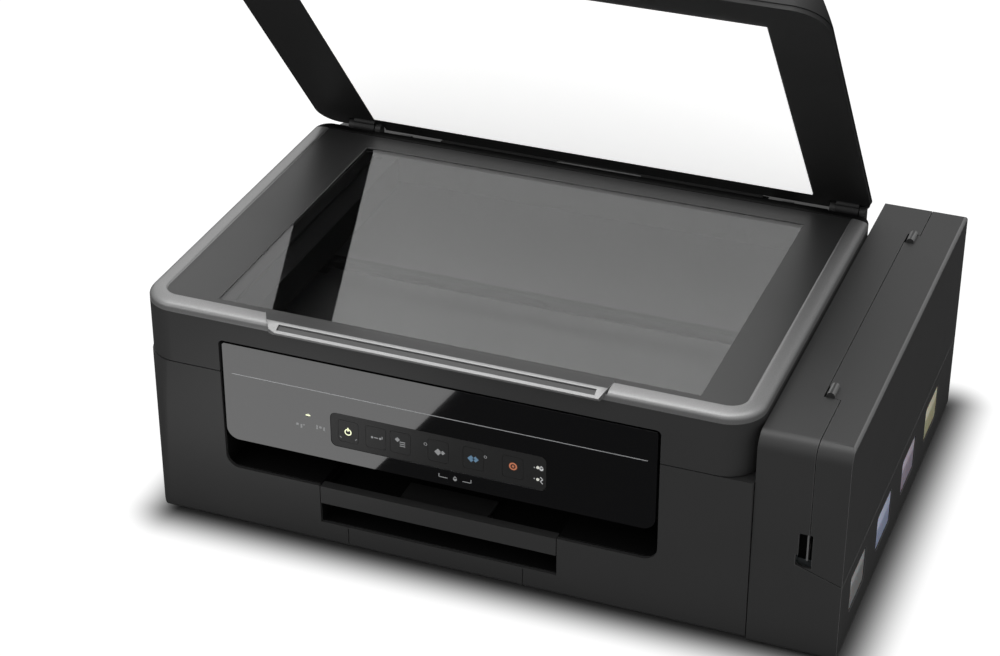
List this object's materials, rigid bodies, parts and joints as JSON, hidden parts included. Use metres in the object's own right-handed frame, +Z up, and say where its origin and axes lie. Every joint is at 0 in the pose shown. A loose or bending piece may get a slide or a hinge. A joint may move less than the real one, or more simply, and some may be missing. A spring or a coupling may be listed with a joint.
{
  "type": "inkjet printer",
  "caption": "Desk inkjet printer with flatbed scanner, tilting document cover, front control panel, pull-out tray and refillable ink tank unit.",
  "frame": {"origin": "on the desk, under the middle of the printer's box with its cover open as stored", "axes": "+X across the front towards the ink tank unit, +Y from the front face to the rear, +Z up"},
  "size_m": [0.4486, 0.309, 0.3639],
  "materials": {
    "case_plastic": "fine moulded texture",
    "tray_plastic": "fine moulded texture",
    "recess_plastic": "matt",
    "rim_plastic": "satin",
    "gloss_panel": "piano gloss",
    "key_plastic": "satin",
    "foot_rubber": "matt",
    "bright_steel": "satin",
    "circuit_board": "lacquered",
    "supply_can": "satin",
    "white_plastic": "satin",
    "tube_plastic": "glossy",
    "bed_glass": "polished",
    "pad_white": "soft film",
    "tank_plastic": "translucent",
    "cap_black": "matt",
    "cap_cyan": "matt",
    "cap_magenta": "matt",
    "cap_yellow": "matt"
  },
  "bodies": {
    "base": {"lower_case": "case_plastic", "feet": "foot_rubber", "case_screws": "bright_steel", "tray_housing": "recess_plastic", "rear_deck": "case_plastic", "ac_inlet": "recess_plastic", "usb_port": "bright_steel", "main_board": "circuit_board", "power_supply": "supply_can", "chassis_frame": "bright_steel", "guide_rod": "bright_steel", "platen": "recess_plastic", "capping_station": "recess_plastic", "drive_motors": "bright_steel", "carriage_belt": "foot_rubber", "feed_belt": "foot_rubber", "ink_tubes": "tube_plastic", "panel_housing": "recess_plastic", "gloss_panel": "gloss_panel", "button_strip": "key_plastic", "panel_board": "circuit_board", "indicator_lights": "white_plastic", "tank_case": "case_plastic", "ink_tanks": "tank_plastic"},
    "print_carriage": {"print_carriage": "recess_plastic", "print_head": "recess_plastic"},
    "motor_pulley": {"motor_pulley": "bright_steel"},
    "idler_pulley": {"idler_pulley": "white_plastic"},
    "feed_roller": {"feed_roller": "bright_steel"},
    "eject_roller": {"eject_roller": "foot_rubber"},
    "feed_pulley": {"feed_pulley": "bright_steel"},
    "pickup_roller": {"pickup_roller": "foot_rubber"},
    "star_wheels": {"star_wheels": "bright_steel"},
    "output_tray": {"output_tray": "tray_plastic"},
    "tray_extension": {"tray_extension": "tray_plastic"},
    "tray_stopper": {"tray_stopper": "tray_plastic"},
    "paper_support": {"paper_support": "tray_plastic"},
    "support_extension": {"support_extension": "tray_plastic"},
    "edge_guide": {"edge_guide": "tray_plastic"},
    "scanner_unit": {"scanner_housing": "case_plastic", "scanner_bezel": "rim_plastic", "scanner_glass": "bed_glass", "front_grip": "rim_plastic", "scan_rail": "bright_steel"},
    "scan_head": {"scan_head": "recess_plastic"},
    "scanner_stay": {"scanner_stay": "recess_plastic"},
    "document_cover": {"cover_shell": "case_plastic", "cover_frame": "recess_plastic", "document_pad": "pad_white"},
    "tank_cover": {"tank_cover": "case_plastic"},
    "button_power": {"button_power": "key_plastic"},
    "button_wireless": {"button_wireless": "key_plastic"},
    "button_status": {"button_status": "key_plastic"},
    "button_mono": {"button_mono": "key_plastic"},
    "button_colour": {"button_colour": "key_plastic"},
    "button_stop": {"button_stop": "key_plastic"},
    "tank_cap_1": {"tank_cap_1": "cap_black"},
    "tank_cap_2": {"tank_cap_2": "cap_cyan"},
    "tank_cap_3": {"tank_cap_3": "cap_magenta"},
    "tank_cap_4": {"tank_cap_4": "cap_yellow"}
  },
  "joints": [
    {"name": "scanner_lift", "type": "hinge", "parent": "base", "child": "scanner_unit", "pos_m": [-0.02575, 0.1265, 0.142], "axis": [-1, 0, 0], "range_deg": [0, 25]},
    {"name": "cover_tilt", "type": "hinge", "parent": "scanner_unit", "child": "document_cover", "pos_m": [-0.02575, 0.1185, 0.1536], "axis": [-1, 0, 0], "range_deg": [-50.75, 29.25]},
    {"name": "stay_swing", "type": "hinge", "parent": "scanner_unit", "child": "scanner_stay", "pos_m": [0.16305, -0.0795, 0.107], "axis": [-1, 0, 0], "range_deg": [0, 45]},
    {"name": "scan_travel", "type": "slide", "parent": "scanner_unit", "child": "scan_head", "axis": [1, 0, 0], "range_m": [0, 0.27]},
    {"name": "carriage_travel", "type": "slide", "parent": "base", "child": "print_carriage", "axis": [-1, 0, 0], "range_m": [0, 0.258]},
    {"name": "motor_pulley_turn", "type": "hinge", "parent": "base", "child": "motor_pulley", "pos_m": [0.14165, 0.0085, 0.098], "axis": [0, 1, 0], "continuous": true},
    {"name": "idler_pulley_turn", "type": "hinge", "parent": "base", "child": "idler_pulley", "pos_m": [-0.19475, 0.0085, 0.098], "axis": [0, 1, 0], "continuous": true},
    {"name": "feed_roller_turn", "type": "hinge", "parent": "base", "child": "feed_roller", "pos_m": [-0.02575, -0.0095, 0.058], "axis": [1, 0, 0], "continuous": true},
    {"name": "eject_roller_turn", "type": "hinge", "parent": "base", "child": "eject_roller", "pos_m": [-0.02575, -0.0715, 0.058], "axis": [1, 0, 0], "continuous": true},
    {"name": "feed_pulley_turn", "type": "hinge", "parent": "base", "child": "feed_pulley", "pos_m": [-0.21385, 0.0255, 0.04], "axis": [1, 0, 0], "continuous": true},
    {"name": "pickup_roller_turn", "type": "hinge", "parent": "base", "child": "pickup_roller", "pos_m": [-0.02575, 0.09771, 0.08668], "axis": [1, 0, 0], "continuous": true},
    {"name": "star_wheels_turn", "type": "hinge", "parent": "base", "child": "star_wheels", "pos_m": [-0.02575, -0.0715, 0.0693], "axis": [1, 0, 0], "continuous": true},
    {"name": "tray_slide", "type": "slide", "parent": "base", "child": "output_tray", "axis": [0, -1, 0], "range_m": [0, 0.09]},
    {"name": "tray_extension_slide", "type": "slide", "parent": "output_tray", "child": "tray_extension", "axis": [0, -1, 0], "range_m": [0, 0.1]},
    {"name": "stopper_flip", "type": "hinge", "parent": "tray_extension", "child": "tray_stopper", "pos_m": [-0.02625, -0.1388, 0.0393], "axis": [1, 0, 0], "range_deg": [0, 90]},
    {"name": "support_slide", "type": "slide", "parent": "base", "child": "paper_support", "axis": [0, 0.4226, 0.9063], "range_m": [0, 0.085]},
    {"name": "support_extension_slide", "type": "slide", "parent": "paper_support", "child": "support_extension", "axis": [0, 0.4226, 0.9063], "range_m": [0, 0.06]},
    {"name": "edge_guide_slide", "type": "slide", "parent": "base", "child": "edge_guide", "axis": [1, 0, 0], "range_m": [0, 0.06]},
    {"name": "press_power", "type": "slide", "parent": "base", "child": "button_power", "axis": [0, 1, 0], "range_m": [0, 0.0008], "stiffness_N_per_m": 600, "springref_m": -0.0004},
    {"name": "press_wireless", "type": "slide", "parent": "base", "child": "button_wireless", "axis": [0, 1, 0], "range_m": [0, 0.0008], "stiffness_N_per_m": 600, "springref_m": -0.0004},
    {"name": "press_status", "type": "slide", "parent": "base", "child": "button_status", "axis": [0, 1, 0], "range_m": [0, 0.0008], "stiffness_N_per_m": 600, "springref_m": -0.0004},
    {"name": "press_mono", "type": "slide", "parent": "base", "child": "button_mono", "axis": [0, 1, 0], "range_m": [0, 0.0008], "stiffness_N_per_m": 600, "springref_m": -0.0004},
    {"name": "press_colour", "type": "slide", "parent": "base", "child": "button_colour", "axis": [0, 1, 0], "range_m": [0, 0.0008], "stiffness_N_per_m": 600, "springref_m": -0.0004},
    {"name": "press_stop", "type": "slide", "parent": "base", "child": "button_stop", "axis": [0, 1, 0], "range_m": [0, 0.0008], "stiffness_N_per_m": 600, "springref_m": -0.0004},
    {"name": "tank_cover_turn", "type": "hinge", "parent": "base", "child": "tank_cover", "pos_m": [0.19725, 0.0005, 0.1459], "axis": [0, -1, 0], "range_deg": [0, 105]},
    {"name": "cap_pull_1", "type": "slide", "parent": "base", "child": "tank_cap_1", "axis": [0, 0, 1], "range_m": [0, 0.024]},
    {"name": "cap_pull_2", "type": "slide", "parent": "base", "child": "tank_cap_2", "axis": [0, 0, 1], "range_m": [0, 0.024]},
    {"name": "cap_pull_3", "type": "slide", "parent": "base", "child": "tank_cap_3", "axis": [0, 0, 1], "range_m": [0, 0.024]},
    {"name": "cap_pull_4", "type": "slide", "parent": "base", "child": "tank_cap_4", "axis": [0, 0, 1], "range_m": [0, 0.024]}
  ],
  "couplings": [
    {"joint": "stay_swing", "follows": "scanner_lift", "ratio": 1.8},
    {"joint": "motor_pulley_turn", "follows": "carriage_travel", "rad_per_m": 166.67},
    {"joint": "idler_pulley_turn", "follows": "carriage_travel", "rad_per_m": 166.67},
    {"joint": "eject_roller_turn", "follows": "feed_roller_turn", "ratio": 1},
    {"joint": "feed_pulley_turn", "follows": "feed_roller_turn", "ratio": 2.4}
  ]
}
